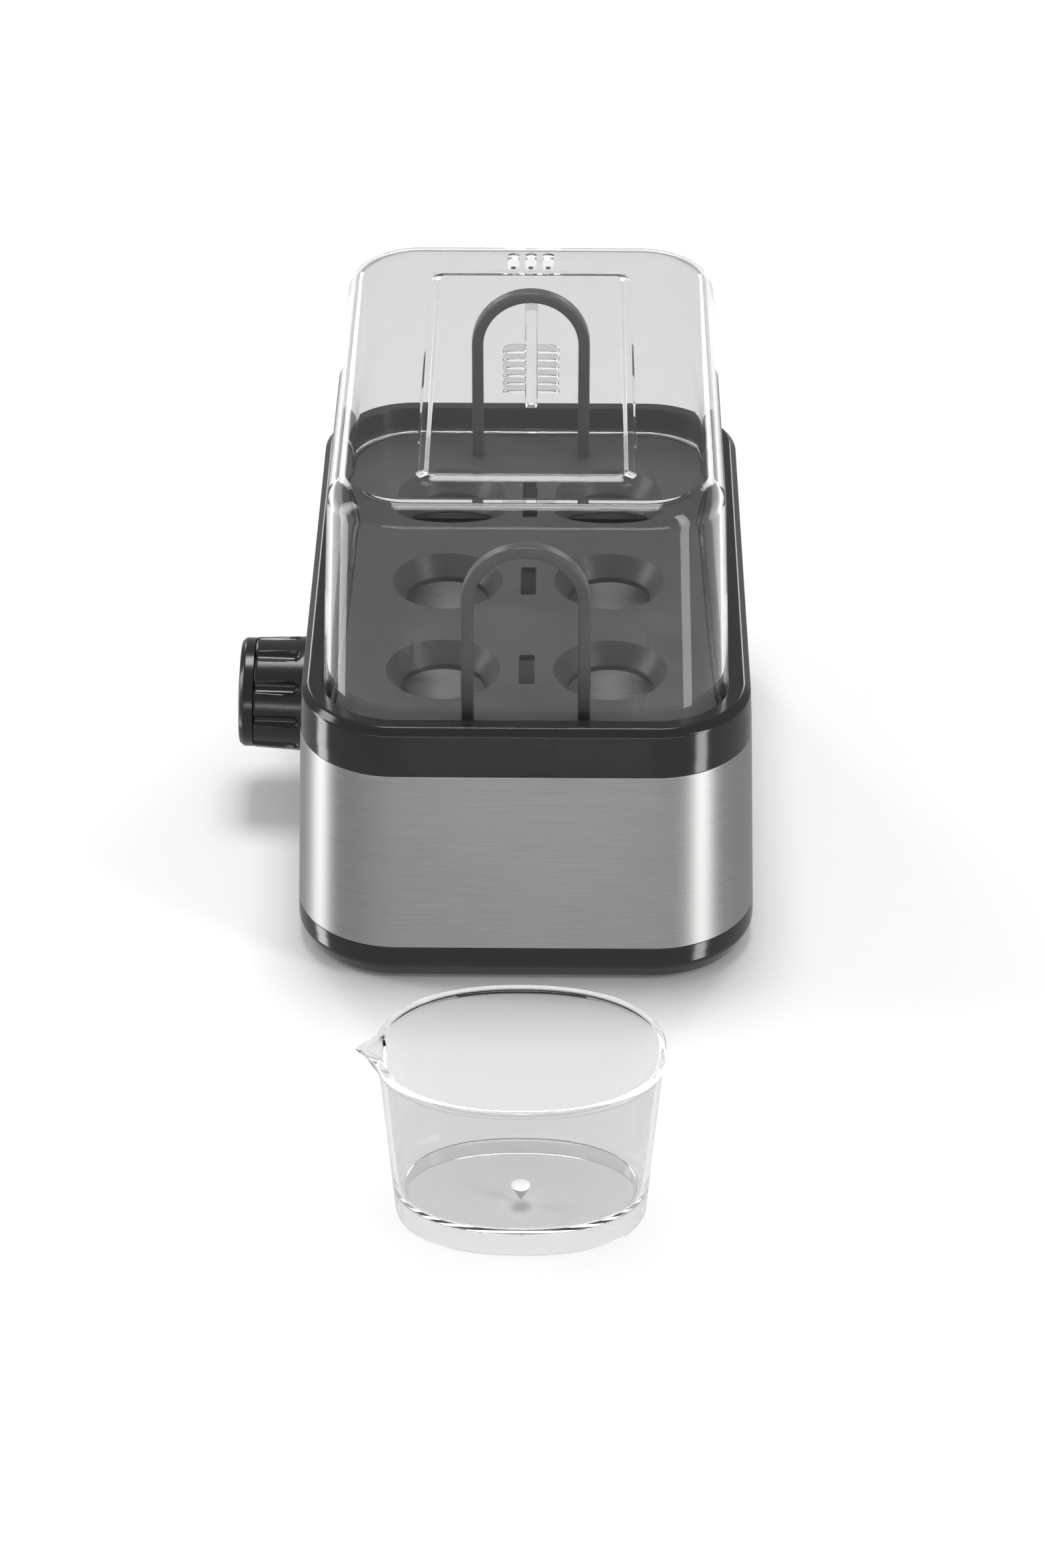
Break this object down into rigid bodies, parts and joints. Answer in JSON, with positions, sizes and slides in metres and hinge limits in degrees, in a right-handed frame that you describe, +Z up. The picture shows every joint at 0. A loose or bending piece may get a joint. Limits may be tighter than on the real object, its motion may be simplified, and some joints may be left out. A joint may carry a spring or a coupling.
{
  "type": "egg cooker",
  "caption": "Steam egg cooker: steel-clad oblong base with a side knob, a lift-out egg rack with arched handles, a clear vented lid and a clear measuring cup with an egg piercer.",
  "frame": {"origin": "centre of the housing's footprint, on the surface the feet stand on", "axes": "+Z up, +Y along the housing towards the cord outlet, so the measuring cup stands at -Y and the knob is on the -X side"},
  "size_m": [0.1861, 0.4068, 0.1809],
  "materials": {
    "gloss_black_plastic": "gloss moulded plastic with soft edges",
    "matte_black_plastic": "matte moulded plastic",
    "dark_grey_plastic": "satin heat-resistant plastic",
    "clear_plastic": "clear moulded plastic",
    "brushed_steel": "stainless steel brushed along the band",
    "satin_steel": "deep-drawn satin stainless steel",
    "polished_steel": "polished stainless steel",
    "zinc_steel": "zinc-plated steel",
    "cast_aluminium": "die-cast aluminium",
    "sheathed_steel": "dull annealed steel sheath",
    "cream_ceramic": "unglazed steatite",
    "cream_plastic": "moulded engineering plastic",
    "grey_silicone": "silicone rubber",
    "black_rubber": "soft rubber",
    "brown_insulation": "flexible insulation",
    "blue_insulation": "flexible insulation",
    "black_insulation": "flexible insulation",
    "green_insulation": "flexible insulation"
  },
  "bodies": {
    "housing": {"base_pan": "gloss_black_plastic", "foot_1": "black_rubber", "foot_2": "black_rubber", "foot_3": "black_rubber", "foot_4": "black_rubber", "steel_band": "brushed_steel", "upper_rim": "gloss_black_plastic", "base_screws": "zinc_steel", "bowl_gasket": "grey_silicone", "water_bowl": "satin_steel", "heat_spreader": "cast_aluminium", "heater_tube": "sheathed_steel", "thermostat": "cream_ceramic", "thermal_fuse": "cream_ceramic", "heater_bracket": "zinc_steel", "bracket_nuts": "zinc_steel", "heat_shield": "satin_steel", "shield_screws": "zinc_steel", "control_body": "cream_plastic", "control_nut": "zinc_steel", "terminal_block": "cream_plastic", "cord_gland": "black_rubber", "cord_clamp": "matte_black_plastic", "clamp_screws": "zinc_steel", "lead_live": "brown_insulation", "lead_neutral": "blue_insulation", "lead_switched": "black_insulation", "lead_fused": "blue_insulation", "lead_earth": "green_insulation"},
    "knob": {"control_shaft": "zinc_steel", "knob_grip": "gloss_black_plastic", "knob_cap": "gloss_black_plastic"},
    "rack": {"egg_tray": "dark_grey_plastic", "front_handle": "dark_grey_plastic", "rear_handle": "dark_grey_plastic"},
    "lid": {"lid": "clear_plastic"},
    "cup": {"measuring_cup": "clear_plastic", "piercing_pin": "polished_steel"}
  },
  "joints": [
    {"name": "knob_turn", "type": "hinge", "parent": "housing", "child": "knob", "pos_m": [-0.07906, 0, 0.0432], "axis": [0.9995, 0, -0.0332], "range_deg": [0, 270]},
    {"name": "rack_lift", "type": "slide", "parent": "housing", "child": "rack", "axis": [0, 0, 1], "range_m": [0, 0.12]},
    {"name": "lid_lift", "type": "slide", "parent": "rack", "child": "lid", "axis": [0, 0, 1], "range_m": [0, 0.11]},
    {"name": "cup_lift", "type": "slide", "parent": "housing", "child": "cup", "axis": [0, 0, 1], "range_m": [0, 0.1]}
  ]
}
